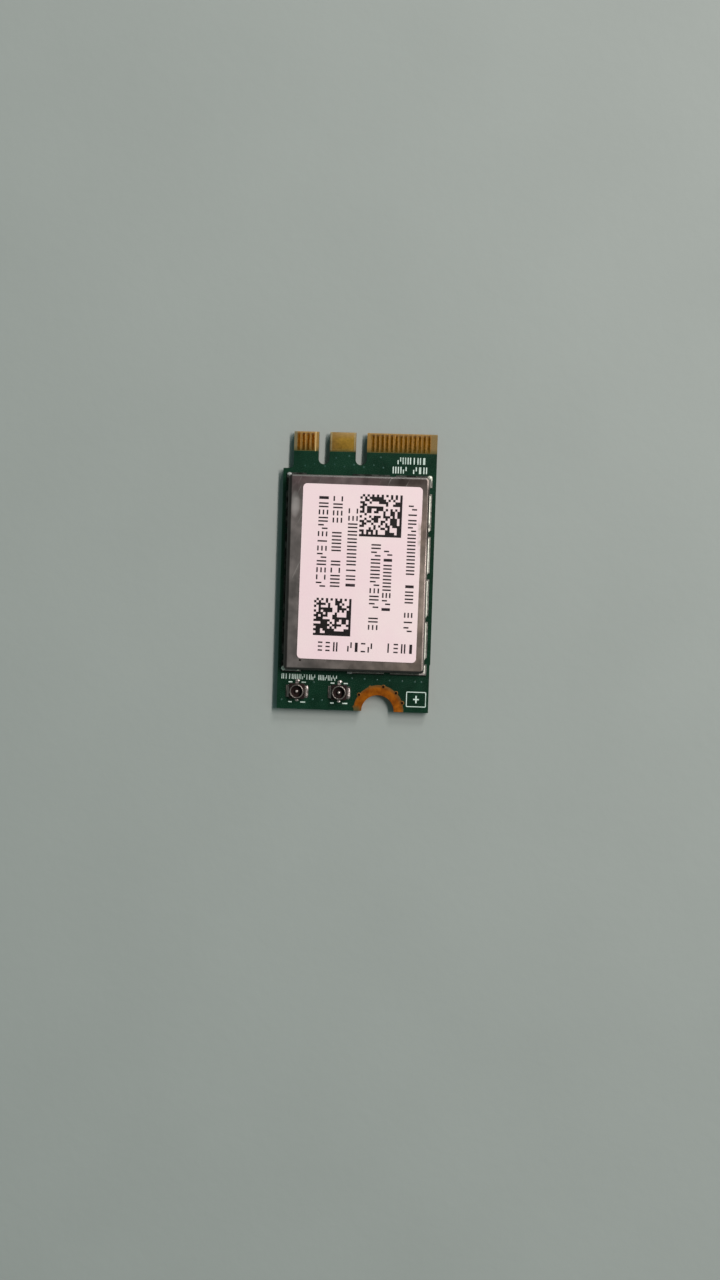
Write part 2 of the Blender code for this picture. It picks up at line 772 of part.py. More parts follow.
def power_parts():
    """The crystal in the can's far left corner and the inductors in its far right one."""
    far_edge = room_far_end - wall_clearance
    place = (wall_clearance + crystal_size[0] / 2 - room_half_width, far_edge - crystal_size[1] / 2)
    lidded_package("reference_crystal", place, crystal_size)
    for index in range(inductor_count):
        inwards = index * (inductor_size[0] + part_clearance)
        column = room_half_width - wall_clearance - inductor_size[0] / 2 - inwards
        place = (column, far_edge - inductor_size[1] / 2)
        chip_component(f"power_inductor_{index + 1}", place, inductor_size, chip_moulding)


def main():
    circuit_board()
    edge_contacts()
    ground_pad()
    screw_ground_ring()
    shield_frame()
    shield_lid()
    product_label()
    antenna_jacks()
    antenna_parts()
    radio_parts()
    power_parts()


main()
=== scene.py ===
# Looks of a small wireless network card: a green board with gold edge contacts, a shield can with a
# printed label, two antenna jacks and a copper half ring round the screw's half hole.
# The shapes here are worked out in millimetres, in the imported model's frame, and scaled to metres once.

import json
import math
import random

import bmesh
import bpy
from mathutils import Matrix, Vector, noise


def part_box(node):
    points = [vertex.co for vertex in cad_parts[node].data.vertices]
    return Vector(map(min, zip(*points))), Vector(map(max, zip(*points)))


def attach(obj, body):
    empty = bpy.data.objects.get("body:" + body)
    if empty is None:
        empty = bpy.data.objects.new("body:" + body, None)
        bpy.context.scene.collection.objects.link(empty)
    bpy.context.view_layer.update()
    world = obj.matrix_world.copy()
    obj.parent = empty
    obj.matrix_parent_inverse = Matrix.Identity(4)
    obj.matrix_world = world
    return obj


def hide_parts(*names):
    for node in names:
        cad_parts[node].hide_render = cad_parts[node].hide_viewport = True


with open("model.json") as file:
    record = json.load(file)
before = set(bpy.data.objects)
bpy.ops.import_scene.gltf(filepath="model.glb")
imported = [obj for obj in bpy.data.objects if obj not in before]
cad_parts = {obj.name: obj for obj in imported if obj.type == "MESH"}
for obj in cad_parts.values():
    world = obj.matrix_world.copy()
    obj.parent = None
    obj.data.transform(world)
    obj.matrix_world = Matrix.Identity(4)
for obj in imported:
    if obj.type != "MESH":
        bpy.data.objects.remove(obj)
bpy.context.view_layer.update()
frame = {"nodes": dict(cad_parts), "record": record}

MM = 0.001
BODY = "root"


def box_mm(node):
    low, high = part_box(node)
    return low / MM, high / MM


def middle_mm(node):
    low, high = box_mm(node)
    return (low + high) / 2


# Places read from the frame
board_high = box_mm("circuit_board")[1]
lid_low, lid_high = box_mm("shield_lid")
frame_low, frame_high = box_mm("shield_frame")
label_low, label_high = box_mm("product_label")
pad_low, pad_high = box_mm("wide_ground_contact")
ring_low, ring_high = box_mm("screw_ground_ring")
board_top = board_high.z
board_tip = board_high.y
lid_middle = middle_mm("shield_lid")
label_middle = middle_mm("product_label")
contact_middle_x = middle_mm("contact_33").x
first_contact_left = box_mm("contact_01")[0].x
last_contact_right = box_mm("contact_57")[1].x
jack_middles = [middle_mm(f"jack_housing_{number}") for number in (1, 2)]

# Camera, fitted to the photograph: its place in mm, its turns in degrees and its lens
camera_place = Vector((3.23, -4.64, 105.35))
camera_turns = (1.47, -1.45, -1.83)
camera_sensor = 36.0
camera_lens = 27.2
camera_far_end = 5000.0

# Light
light_height = 400.0
light_slant = 0.66
light_reach = 0.95
light_width = 45.0
light_power = 2.6
light_colour = (1.0, 0.95, 0.94)
window_direction = Vector((0.65, 1.65, 1.0))
window_strength = 1.0
window_softness = math.radians(15)
overhead_light = 0.05
lit_horizon_light = 0.7
far_horizon_light = 0.4
pale_sky_height = 0.35
sky_on_surfaces = 0.635
sky_colour = (0.84, 1.0, 0.96)
sky_colour_on_surfaces = (0.54, 1.0, 0.965)
floor_colour = (0.338, 0.352, 0.33)
floor_drop = 0.12
floor_thickness = 1.0
floor_side = 800.0

# Board
contact_pitch = 0.5
mask_edge_y = pad_low.y - 0.09
# Place of a painted glint line on the tongue's laminate
glint_line_x = -4.85
tented_places = [(-0.17 + 1.36 * i, -11.5 - 0.035 * i) for i in range(6)]
tented_places += [(-4.29, -12.06), (-4.35, -13.92), (-3.36, -13.99), (-7.75, -14.05), (7.33, -11.68)]
faint_places = [(-5.9 + 1.05 * i, 11.3 + 0.22 * (i % 2)) for i in range(9)]
faint_places += [(-1.2, 12.45), (-2.6, 12.2), (2.2, 12.4)]
first_trace_x = -6.65
left_traces = range(4)
right_traces = range(16, 23)
trace_stops = (12.93, 12.3, 11.6, 10.7)
trace_width = 0.12
trace_height = 0.006
trace_step = 0.0006
jack_trace_width = 0.26
thin_sink = 0.004
metal_base = board_top + 0.015

# Lid, and lighter patches on its top: middle, half width, half length and colour
lid_wall = 0.12
lid_corner = 0.45
lid_bend = 0.3
can_patches = (
    ((-6.75, 7.0), 0.55, 1.5, (0.5, 0.45, 0.43)),
    ((7.0, -2.2), 0.7, 4.4, (0.44, 0.345, 0.29)),
    ((7.0, 5.4), 0.7, 2.6, (0.33, 0.245, 0.208)),
)

# Solder along the frame's feet, with both ends of each bead on the right and near sides
foot_top = frame_low.z + 0.12
right_bead_spans = (
    (8.45, 5.2), (4.97, 4.51), (3.87, -0.03), (-0.68, -4.7), (-5.23, -9.27), (-9.83, -10.85),
)
near_bead_spans = ((-0.7, 3.27), (3.95, 7.1))
left_bead_pitch = 4.57
left_bead_half = 1.9

# Label
label_size = (12.75, 18.7)
label_shift = Vector((0.045, 0.0))
label_corner = 0.45
label_turn = math.radians(-0.5)
soiled_place = (6.7, 3.9)
speck_place = (-5.76, -9.64)

# Label print, which says nothing. The rows run away from the foot: left edge, near end, length, height
# and gaps as shares. A word of the foot row has its right end and length, a code its side and modules.
mark_share = 0.72
code_cover = 0.56
ink_height = 0.004
ink_stroke = 0.16
label_kinds = ("bars", "bars", "bars", "ladder", "ladder", "stack", "step", "thick", "bar")
label_row_advance = 0.73
label_rows = (
    (-3.8, -1.85, 10.0, 1.02, ((0.27, 0.31),)),
    (-2.28, -1.83, 9.9, 1.02, ((0.34, 0.39), (0.6, 0.66), (0.74, 0.79))),
    (-0.62, -1.87, 8.7, 1.02, ()),
    (1.92, -6.3, 9.4, 1.02, ((0.14, 0.23),)),
    (3.25, -4.33, 6.75, 0.9, ()),
    (5.65, -6.4, 13.7, 0.9, ((0.19, 0.23), (0.37, 0.44), (0.76, 0.79))),
)
foot_row_y = -8.12
foot_row_height = 1.0
foot_row_advance = 0.66
foot_row_words = ((-1.6, 2.45), (2.05, 2.9), (6.45, 3.2))
label_codes = (("large", (2.42, 5.99), 4.5, 18), ("small", (-2.43, -4.93), 4.0, 16))

# Board legend: start, direction, length, height, advance, stroke and gaps of each row
legend_kinds = ("bars", "bars", "thick", "bar", "step")
legend_height = 0.012
legend_rows = (
    ((7.15, 12.08), (-1.0, 0.0), 3.2, 0.72, 0.53, 0.12, ()),
    ((7.3, 11.08), (-1.0, 0.0), 3.85, 0.72, 0.55, 0.12, ((0.43, 0.58),)),
    ((-7.86, -11.48), (1.0, -0.012), 3.75, 0.56, 0.375, 0.085, ()),
    ((-3.85, -11.53), (1.0, -0.012), 2.1, 0.56, 0.35, 0.085, ()),
)
box_middle = Vector((6.84, -13.57))
box_size = (2.15, 1.66)
box_line = 0.085
box_corner = 0.13
cross_length = 0.8
cross_width = 0.62
cross_stroke = 0.15
dash_width = 0.125
dash_spans = ((-1.19, ((-0.93, -0.55), (0.38, 0.92))), (0.97, ((-0.95, -0.54), (0.47, 0.92))))

# Copper half ring, and its vias as a turn in degrees and a reach from its middle
hole_radius = 1.75
land_radius = 2.75
land_lift = 0.004
land_middle = (middle_mm("screw_ground_ring").x, ring_low.y)
foot_stain_place = (land_middle[0] - 2.4, ring_low.y)
via_radius = 0.14
via_rim_radius = 0.225
closed_via_radius = 0.16
via_hole_lift = land_lift + 0.003
via_places = ((20.7, 2.83), (46.3, 2.83), (78.1, 2.75), (139.4, 2.69))
closed_via_places = ((108.0, 2.76), (170.3, 2.56))

# Jacks, with heights from the board's top
ring_radius = 0.74
ring_wall = 0.11
ring_height = 0.85
ring_seat = 0.2
ring_groove = 0.04
ring_rim = 0.12
housing_side = 1.64
housing_height = 0.42
housing_corner = 0.07
housing_ease = 0.045
well_depth = 0.12
boss_radius = 0.3
boss_height = 0.13
pin_radius = 0.15
pin_height = 0.7
pin_dome = 0.09
tail_width = 0.34
tail_reach = 1.22
strap_width = 1.3
strap_reach = 1.2
strap_metal = 0.08

# Underside
pad_start = (-5.6, -9.0)
pad_pitch = (2.4, 5.2)
pad_radius = 0.38
pad_thickness = 0.008
lower_via_radius = 0.13
lower_via_room = 0.7

# Fineness
circle_steps = 72
bend_steps = 8
worn_steps = 90


# Mesh helpers, all in millimetres

def arc(centre, radius, start, end, steps):
    """Points along an arc, in degrees, both ends included."""
    turns = [math.radians(start + (end - start) * i / steps) for i in range(steps + 1)]
    return [(centre[0] + radius * math.cos(t), centre[1] + radius * math.sin(t)) for t in turns]


def rectangle(centre, width, length, turn=0.0):
    corners = [(side * width / 2, end * length / 2) for side, end in ((-1, -1), (1, -1), (1, 1), (-1, 1))]
    spin = Matrix.Rotation(turn, 2)
    return [tuple(spin @ Vector(corner) + Vector(centre)) for corner in corners]


def rounded_rectangle(centre, width, length, radius, turn=0.0, steps=8):
    spin = Matrix.Rotation(turn, 2)
    points = []
    for side, end, start in ((1, 1, 0), (-1, 1, 90), (-1, -1, 180), (1, -1, 270)):
        corner = (side * (width / 2 - radius), end * (length / 2 - radius))
        points += arc(corner, radius, start, start + 90, steps)
    return [tuple(spin @ Vector(point) + Vector(centre)) for point in points]


def circle(centre, radius, steps=24):
    return arc(centre, radius, 0, 360 * (steps - 1) / steps, steps - 1)


def add_bands(shape, rows, closed_rows=True, capped=False):
    """Faces between rows of points that have as many points each, and over both end rows if capped."""
    made = [[shape.verts.new(point) for point in row] for row in rows]
    for row, following in zip(made, made[1:]):
        count = len(row)
        for i in range(count if closed_rows else count - 1):
            j = (i + 1) % count
            shape.faces.new((row[i], row[j], following[j], following[i]))
    if capped:
        shape.faces.new(made[0][::-1])
        shape.faces.new(made[-1])
    return made


def add_slab(shape, outline, bottom, top):
    """A flat plate of any outline."""
    add_bands(shape, [[(x, y, z) for x, y in outline] for z in (bottom, top)], capped=True)


def add_turned(shape, centre, profile, steps=circle_steps):
    """A closed profile of radius and height, revolved about an upright line."""
    rows = []
    for radius, height in list(profile) + [profile[0]]:
        rows.append([(x, y, height) for x, y in circle(centre, radius, steps)])
    add_bands(shape, rows)
    bmesh.ops.remove_doubles(shape, verts=shape.verts, dist=0.0005)


def add_lump(shape, centre, size, seed=0, rough=0.0, steps=20):
    """A lump of solder: an ellipsoid with a slightly uneven skin, sunk into what carries it."""
    made = bmesh.ops.create_uvsphere(shape, u_segments=steps, v_segments=steps // 2, radius=1.0)
    for vertex in made["verts"]:
        point = vertex.co.copy()
        swell = 1.0 + rough * noise.noise(point * 1.7 + Vector((seed * 3.1, seed, 0.0)))
        vertex.co = point * Vector(size) * swell + Vector(centre)


def add_bead(shape, start, end, width, height, base, seed=0, rough=0.12):
    """A long bead of solder along the board, with round ends and an uneven crest."""
    start, end = Vector(start), Vector(end)
    along = (end - start).normalized()
    across = Vector((-along.y, along.x))
    length = (end - start).length
    stations = max(12, int(length / 0.16))
    rows = []
    for i in range(stations + 1):
        t = i / stations
        near_end = min(t, 1 - t) * length / (width * 0.9)
        taper = math.sqrt(max(0.02, 1 - max(0.0, 1 - near_end) ** 2))
        wander = noise.noise(Vector((seed * 7.3, t * length * 1.6, 0.4)))
        middle = start + along * (t * length)
        row = []
        for k in range(9):
            angle = math.pi * k / 8
            reach = width / 2 * taper * (1 + rough * wander)
            lift = height * taper * (1 + 2 * rough * wander)
            place = middle + across * (math.cos(angle) * reach)
            row.append((place.x, place.y, base + math.sin(angle) * lift))
        rows.append(row)
    made = add_bands(shape, rows, closed_rows=False, capped=True)
    for row, following in zip(made, made[1:]):
        shape.faces.new((row[0], following[0], following[-1], row[-1]))


def add_object(name, data):
    made = bpy.data.objects.new(name, data)
    bpy.context.scene.collection.objects.link(made)
    return made


def new_mesh(name, shape, finish):
    """Turns a shape in mm into an object."""
    bmesh.ops.recalc_face_normals(shape, faces=shape.faces)
    shape.transform(Matrix.Scale(MM, 4))
    mesh = bpy.data.meshes.new(name)
    shape.to_mesh(mesh)
    shape.free()
    mesh.materials.append(finish)
    return add_object(name, mesh)


def make_piece(name, shape, finish, replaced=(), smooth_below=40.0):
    """Turns a shape in mm into a piece of the card."""
    piece = new_mesh(name, shape, finish)
    piece.data.shade_smooth()
    piece.data.set_sharp_from_angle(angle=math.radians(smooth_below))
    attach(piece, BODY)
    if replaced:
        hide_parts(*replaced)
    return piece


# Node helpers

class Nodes:
    """A node tree, with the nodes that the finishes and the sky are made of."""

    def __init__(self, tree):
        self.tree = tree

    def add(self, kind, *sources, **settings):
        """A new node with its first inputs fed."""
        node = self.tree.nodes.new("ShaderNode" + kind)
        for name, value in settings.items():
            setattr(node, name, value)
        for source, target in zip(sources, node.inputs):
            self.feed(source, target)
        return node

    def feed(self, source, target):
        """Links a socket, or sets a plain value."""
        if isinstance(source, bpy.types.NodeSocket):
            self.tree.links.new(source, target)
        elif isinstance(source, tuple) and target.type == "RGBA":
            target.default_value = (*source, 1.0)
        else:
            target.default_value = source

    def math(self, operation, first, second=0.0):
        return self.add("Math", first, second, operation=operation).outputs[0]

    def split(self, vector):
        return self.add("SeparateXYZ", vector).outputs

    def between(self, value, low, high, to_low=0.0, to_high=1.0):
        return self.add("MapRange", value, low, high, to_low, to_high).outputs["Result"]

    def mix(self, factor, first, second):
        node = self.add("Mix", factor, data_type="RGBA")
        self.feed(first, node.inputs[6])
        self.feed(second, node.inputs[7])
        return node.outputs[2]

    def layered(self, base, *layers):
        """A base colour under layers, each a cover and its colour."""
        for cover, colour in layers:
            base = self.mix(cover, base, colour)
        return base


class Look(Nodes):
    """A Principled material whose colour, roughness and relief come from object coordinates in mm."""

    def __init__(self, name, metallic=0.0, specular=0.5):
        self.material = bpy.data.materials.new(name)
        self.material.use_nodes = True
        super().__init__(self.material.node_tree)
        self.shader = self.tree.nodes["Principled BSDF"]
        self.shader.inputs["Metallic"].default_value = metallic
        self.shader.inputs["Specular IOR Level"].default_value = specular
        coordinates = self.add("TexCoord").outputs
        scale = self.add("VectorMath", coordinates["Object"], operation="SCALE")
        scale.inputs["Scale"].default_value = 1 / MM
        self.place = scale.outputs["Vector"]
        self.x, self.y, self.z = self.split(self.place)
        self.facing_x, self.facing_y, self.facing_z = self.split(coordinates["Normal"])

    def noise(self, scale, detail, stretch=(1.0, 1.0, 1.0), place=None):
        mapping = self.add("Mapping", place or self.place)
        mapping.inputs["Scale"].default_value = stretch
        texture = self.add("TexNoise", mapping.outputs["Vector"])
        texture.inputs["Scale"].default_value = scale
        texture.inputs["Detail"].default_value = detail
        return texture.outputs["Fac"]

    def patches(self, scale, detail, low, high, stretch=(1.0, 1.0, 1.0)):
        """Noise spread from 0 at its low level to 1 at its high one."""
        return self.between(self.noise(scale, detail, stretch), low, high)

    def scratches(self, angle, scale, cover):
        """Fine hair lines along one direction: 1 on a line and 0 between them."""
        turn = self.add("VectorRotate", self.place, rotation_type="Z_AXIS")
        turn.inputs["Angle"].default_value = math.radians(angle)
        lines = self.noise(1.0, 2.0, (scale, scale * 0.05, scale), turn.outputs["Vector"])
        return self.between(lines, 1.0 - cover, 1.0 - cover + 0.06)

    def cells(self, scale):
        texture = self.add("TexVoronoi", self.place, feature="DISTANCE_TO_EDGE")
        texture.inputs["Scale"].default_value = scale
        return texture.outputs["Distance"]

    def oval(self, centre, half_width=1.0, half_length=1.0):
        """The squared reach from a centre, in half widths and half lengths."""
        across = self.math("DIVIDE", self.math("SUBTRACT", self.x, centre[0]), half_width)
        along = self.math("DIVIDE", self.math("SUBTRACT", self.y, centre[1]), half_length)
        return self.math("ADD", self.math("MULTIPLY", across, across), self.math("MULTIPLY", along, along))

    def smear(self, *oval):
        """A soft oval patch: 1 at its middle and 0 at its rim."""
        return self.between(self.oval(*oval), 1.0, 0.0)

    def colour(self, base, *layers):
        self.feed(self.layered(base, *layers), self.shader.inputs["Base Color"])

    def roughness(self, source, smooth, rough, low=0.3, high=0.7):
        self.feed(self.between(source, low, high, smooth, rough), self.shader.inputs["Roughness"])

    def relief(self, *layers):
        """Stacks bumps, each a height socket and its depth in mm, and gives the finished material."""
        below = None
        for height, depth in layers:
            bump = self.add("Bump")
            self.feed(depth * MM, bump.inputs["Distance"])
            self.feed(height, bump.inputs["Height"])
            if below:
                self.feed(below, bump.inputs["Normal"])
            below = bump.outputs["Normal"]
        self.feed(below, self.shader.inputs["Normal"])
        return self.material


# Materials

def board_finish():
    """Green lacquer, bare laminate on the tongue and at the edges, gold on the lower lands, and a painted
    glint by one contact's right edge.
    """
    look = Look("board_lacquer", specular=0.35)
    edge = look.math("LESS_THAN", look.math("ABSOLUTE", look.facing_z), 0.7)
    tongue = look.math("GREATER_THAN", look.y, mask_edge_y)
    land = look.math("MULTIPLY", tongue, look.math("LESS_THAN", look.z, 0.02))
    land = look.math("MULTIPLY", land, look.math("LESS_THAN", look.facing_z, -0.7))
    blotches = look.patches(0.55, 4.0, 0.35, 0.68)
    lacquer = look.mix(blotches, (0.003, 0.021, 0.01), (0.006, 0.033, 0.017))
    fibres = look.patches(5.0, 3.0, 0.35, 0.7, (1.0, 0.12, 1.0))
    left_margin = look.between(look.x, first_contact_left + 0.02, first_contact_left - 0.06)
    right_margin = look.between(look.x, last_contact_right - 0.02, last_contact_right + 0.06)
    root = look.between(look.y, mask_edge_y + 0.55, mask_edge_y, 0.0, 0.9)
    # Painted glint: a bright line along one contact's right edge.
    from_line = look.math("ABSOLUTE", look.math("SUBTRACT", look.x, glint_line_x))
    glint_line = look.between(from_line, 0.07, 0.04)
    laminate = look.layered(
        look.mix(fibres, (0.235, 0.125, 0.03), (0.31, 0.17, 0.048)),
        (left_margin, (0.165, 0.13, 0.07)),
        (right_margin, (0.215, 0.135, 0.05)),
        (root, (0.075, 0.068, 0.022)),
        (glint_line, (0.6, 0.4, 0.17)))
    plies = look.patches(3.0, 2.0, 0.4, 0.62, (0.3, 0.3, 7.0))
    side = look.mix(plies, (0.03, 0.045, 0.022), (0.085, 0.085, 0.04))
    bare = look.math("MAXIMUM", edge, tongue)
    look.colour(lacquer, (bare, look.mix(edge, laminate, side)), (land, (0.3, 0.17, 0.045)))
    grain = look.noise(9.0, 3.0)
    look.roughness(grain, 0.2, 0.32)
    return look.relief((look.noise(1.1, 2.0), 0.01), (look.cells(2.6), 0.004), (grain, 0.003))


def via_finish():
    """Lacquer stretched thin over a via."""
    look = Look("via_lacquer")
    tone = look.patches(3.0, 2.0, 0.3, 0.7)
    look.colour(look.mix(tone, (0.008, 0.04, 0.028), (0.02, 0.075, 0.055)))
    look.roughness(tone, 0.3, 0.42, 0.0, 1.0)
    return look.relief((look.noise(12.0, 2.0), 0.003))


def finger_finish():
    """Thin gold over copper, rubbed along the way the card slides in and redder on the left, with a painted
    highlight along each contact's edges.
    """
    look = Look("finger_gold", metallic=1.0)
    worn = look.patches(2.2, 3.0, 0.34, 0.68, (1.0, 0.4, 1.0))
    left = look.mix(worn, (0.2, 0.048, 0.001), (0.4, 0.13, 0.006))
    right = look.mix(worn, (0.1, 0.035, 0.001), (0.18, 0.072, 0.003))
    to_right = look.between(look.x, -5.0, 0.5)
    streaks = look.scratches(2.0, 9.0, 0.4)
    pitches = look.math("DIVIDE", look.math("SUBTRACT", look.x, contact_middle_x), contact_pitch)
    phase = look.math("FRACT", look.math("ADD", pitches, 20.5))
    from_middle = look.math("ABSOLUTE", look.math("SUBTRACT", phase, 0.5))
    # Painted highlight: lighter bands along both edges of each contact.
    rim = look.between(from_middle, 0.2, 0.33)
    tip = look.between(look.y, board_tip - 0.42, board_tip - 0.12, 0.0, 0.7)
    root = look.between(look.y, mask_edge_y + 1.0, mask_edge_y, 0.0, 0.8)
    look.colour(
        look.mix(to_right, left, right),
        (look.math("MULTIPLY", streaks, 0.25), (0.23, 0.11, 0.01)),
        (rim, look.mix(to_right, (0.78, 0.43, 0.12), (0.6, 0.31, 0.078))),
        (tip, (0.36, 0.215, 0.105)),
        (root, (0.115, 0.082, 0.015)))
    look.roughness(look.noise(6.0, 3.0), 0.3, 0.44)
    return look.relief((look.noise(4.0, 2.0), 0.005), (streaks, 0.002))


def pad_finish():
    """Yellower gold, tanner at the tip and olive where the lacquer starts."""
    look = Look("pad_gold", metallic=1.0)
    tip = look.between(look.y, board_tip - 0.75, board_tip - 0.15)
    root = look.between(look.y, mask_edge_y + 0.42, mask_edge_y)
    left_side = look.between(look.x, pad_low.x + 1.2, pad_low.x + 0.3, 0.0, 0.6)
    left_margin = look.between(look.x, pad_low.x + 0.2, pad_low.x + 0.08)
    right_margin = look.between(look.x, pad_high.x - 0.2, pad_high.x - 0.08)
    look.colour(
        look.mix(look.patches(1.6, 4.0, 0.32, 0.7), (0.305, 0.172, 0.026), (0.385, 0.222, 0.036)),
        (tip, (0.345, 0.215, 0.085)),
        (root, (0.25, 0.2, 0.06)),
        (left_side, (0.25, 0.135, 0.04)),
        (look.math("MAXIMUM", left_margin, right_margin), (0.34, 0.27, 0.145)))
    look.roughness(look.noise(6.0, 3.0), 0.34, 0.46)
    return look.relief((look.noise(2.0, 2.0), 0.006))


def copper_finish():
    """Orange tarnished copper, tanner towards its rim and olive at the left foot."""
    look = Look("tarnished_copper", metallic=0.85)
    reach = look.math("SQRT", look.oval(land_middle))
    rim = look.between(reach, land_radius - 0.28, land_radius + 0.02, 0.0, 0.75)
    look.colour(
        look.mix(look.patches(1.5, 5.0, 0.36, 0.66), (0.25, 0.06, 0.002), (0.43, 0.122, 0.005)),
        (rim, (0.2, 0.105, 0.03)),
        (look.smear(foot_stain_place, 0.75, 0.65), (0.12, 0.105, 0.04)))
    grain = look.noise(7.0, 4.0)
    look.roughness(grain, 0.38, 0.56)
    return look.relief((look.noise(1.3, 2.0), 0.012), (grain, 0.006))


def can_finish():
    """Satin tinned sheet with rolling lines and lighter patches. Painted light: shade on the left and near
    bends, a highlight on the far bend, and a sheen along the right bend.
    """
    look = Look("tinned_sheet", metallic=0.85)
    far_colour = look.mix(look.between(look.x, 0.0, 3.6), (0.172, 0.118, 0.118), (0.052, 0.036, 0.03))
    clouds = look.between(look.noise(0.42, 3.0), 0.32, 0.68, 0.0, 0.4)
    lines = look.scratches(24.0, 5.0, 0.33)
    bend_start = lid_high.z - lid_bend
    bend = look.between(look.z, bend_start - 0.06, bend_start + 0.04)
    # Painted sheen on the right bend: dark, and lighter over the spans where it catches the light.
    right = look.math("MULTIPLY", bend, look.between(look.facing_x, 0.01, 0.12))
    streaks = look.math("MAXIMUM", look.between(look.y, 3.8, 1.6), look.between(look.y, 8.9, 9.5))
    # Painted shade: the left and near bends are darkened.
    left = look.between(look.x, lid_low.x + lid_bend + 0.13, lid_low.x + lid_bend + 0.06)
    near = look.between(look.facing_y, -0.05, -0.22)
    dark = look.math("MULTIPLY", bend, look.math("MAXIMUM", left, near))
    look.colour(
        look.mix(look.between(look.x, -7.0, 7.6), (0.245, 0.212, 0.2), (0.245, 0.186, 0.15)),
        (look.between(look.y, 7.6, 9.5), far_colour),
        (clouds, (0.205, 0.182, 0.172)),
        *[(look.smear(*oval), colour) for *oval, colour in can_patches],
        (look.math("MULTIPLY", lines, 0.35), (0.44, 0.42, 0.39)),
        # Painted highlight on the far bend.
        (look.between(look.facing_y, 0.1, 0.45), (0.22, 0.198, 0.19)),
        (right, look.mix(streaks, (0.06, 0.048, 0.042), (0.215, 0.176, 0.158))),
        (dark, (0.045, 0.042, 0.038)))
    look.roughness(look.noise(0.8, 4.0), 0.3, 0.48)
    rolled = look.noise(7.0, 3.0, (1.0, 0.03, 1.0))
    return look.relief((look.noise(0.25, 1.0), 0.03), (rolled, 0.004), (lines, 0.003))


def solder_finish(name, dark, light, roughness, metallic=0.9):
    look = Look(name, metallic)
    look.colour(look.mix(look.patches(1.8, 4.0, 0.3, 0.7), dark, light))
    grain = look.noise(8.0, 3.0)
    look.roughness(grain, roughness - 0.08, roughness + 0.14)
    return look.relief((look.noise(2.2, 3.0), 0.03), (grain, 0.008))


def frame_finish():
    """Dull tin, with painted shade that darkens it along the left and far sides and partly along the near
    one, and a painted shadow line along its near rim.
    """
    look = Look("frame_tin", metallic=0.9)
    # Painted shade: dark with a few lighter spots along the left and far sides, and partly along the near
    # side.
    left = look.between(look.x, frame_low.x + 0.55, frame_low.x + 0.3)
    far = look.between(look.y, frame_high.y - 0.34, frame_high.y - 0.24)
    near = look.between(look.y, frame_low.y + 0.34, frame_low.y + 0.2, 0.0, 0.38)
    painted_shade = look.math("MAXIMUM", look.math("MAXIMUM", left, far), near)
    shade_colour = look.mix(look.patches(0.9, 3.0, 0.46, 0.6), (0.026, 0.026, 0.022), (0.105, 0.11, 0.098))
    # Painted shadow: a near-black line along the near rim.
    rim = look.between(look.y, frame_low.y + 0.12, frame_low.y + 0.06)
    look.colour(
        look.mix(look.patches(1.8, 4.0, 0.3, 0.7), (0.26, 0.25, 0.22), (0.46, 0.44, 0.4)),
        (painted_shade, shade_colour),
        (rim, (0.01, 0.014, 0.01)))
    grain = look.noise(8.0, 3.0)
    look.roughness(grain, 0.28, 0.48)
    return look.relief((look.noise(2.2, 3.0), 0.02), (grain, 0.006))


def paper_finish():
    """Pale pink-white label stock, with fine fibres, faint clouds and a soiled right edge."""
    look = Look("label_stock", specular=0.25)
    fibres = look.noise(11.0, 4.0, (1.0, 0.5, 1.0))
    soiled = look.math("MULTIPLY", look.smear(soiled_place, 0.4, 2.4), look.patches(1.6, 5.0, 0.35, 0.65))
    look.colour(
        look.mix(look.patches(0.22, 4.0, 0.3, 0.7), (0.892, 0.645, 0.68), (0.892, 0.695, 0.692)),
        (soiled, (0.46, 0.38, 0.32)),
        (look.between(fibres, 0.45, 0.8, 0.0, 0.1), (0.62, 0.5, 0.52)))
    look.roughness(fibres, 0.5, 0.64)
    return look.relief((look.noise(0.35, 2.0), 0.02), (fibres, 0.004))


def ink_finish(name, full, faded, fade_from):
    """Printed ink, thinner in patches."""
    look = Look(name, specular=0.3)
    thin = look.between(look.noise(0.9, 5.0), fade_from, 0.78, 0.0, 0.8)
    speckle = look.patches(9.0, 2.0, 0.5, 0.72)
    look.colour(full, (thin, faded), (look.math("MULTIPLY", speckle, 0.25), faded))
    look.roughness(speckle, 0.45, 0.6, 0.0, 1.0)
    return look.relief((look.noise(8.0, 2.0), 0.002))


def moulding_finish(name, dark, light, roughness=0.5, specular=0.4):
    look = Look(name, specular=specular)
    look.colour(look.mix(look.patches(2.0, 4.0, 0.3, 0.7), dark, light))
    grain = look.noise(16.0, 3.0)
    look.roughness(grain, roughness - 0.08, roughness + 0.08)
    return look.relief((grain, 0.005))


lacquer = board_finish()
via_lacquer = via_finish()
finger_gold = finger_finish()
pad_gold = pad_finish()
copper = copper_finish()
sheet_tin = can_finish()
frame_tin = frame_finish()
# Painted highlight: a paler, less metallic solder that looks lit wherever it lies.
bright_solder = solder_finish("bright_solder", (0.6, 0.58, 0.49), (0.76, 0.74, 0.64), 0.42, 0.35)
grey_solder = solder_finish("grey_solder", (0.22, 0.22, 0.21), (0.33, 0.33, 0.315), 0.55, 0.3)
pale_solder = solder_finish("pale_solder", (0.4, 0.34, 0.32), (0.64, 0.57, 0.53), 0.36)
jack_metal = solder_finish("jack_plating", (0.155, 0.13, 0.118), (0.32, 0.275, 0.25), 0.3)
paper = paper_finish()
dark_ink = ink_finish("label_ink", (0.008, 0.004, 0.005), (0.13, 0.09, 0.1), 0.58)
code_ink = ink_finish("code_ink", (0.005, 0.003, 0.003), (0.03, 0.02, 0.02), 0.6)
white_ink = ink_finish("legend_ink", (0.68, 0.76, 0.69), (0.18, 0.28, 0.21), 0.5)
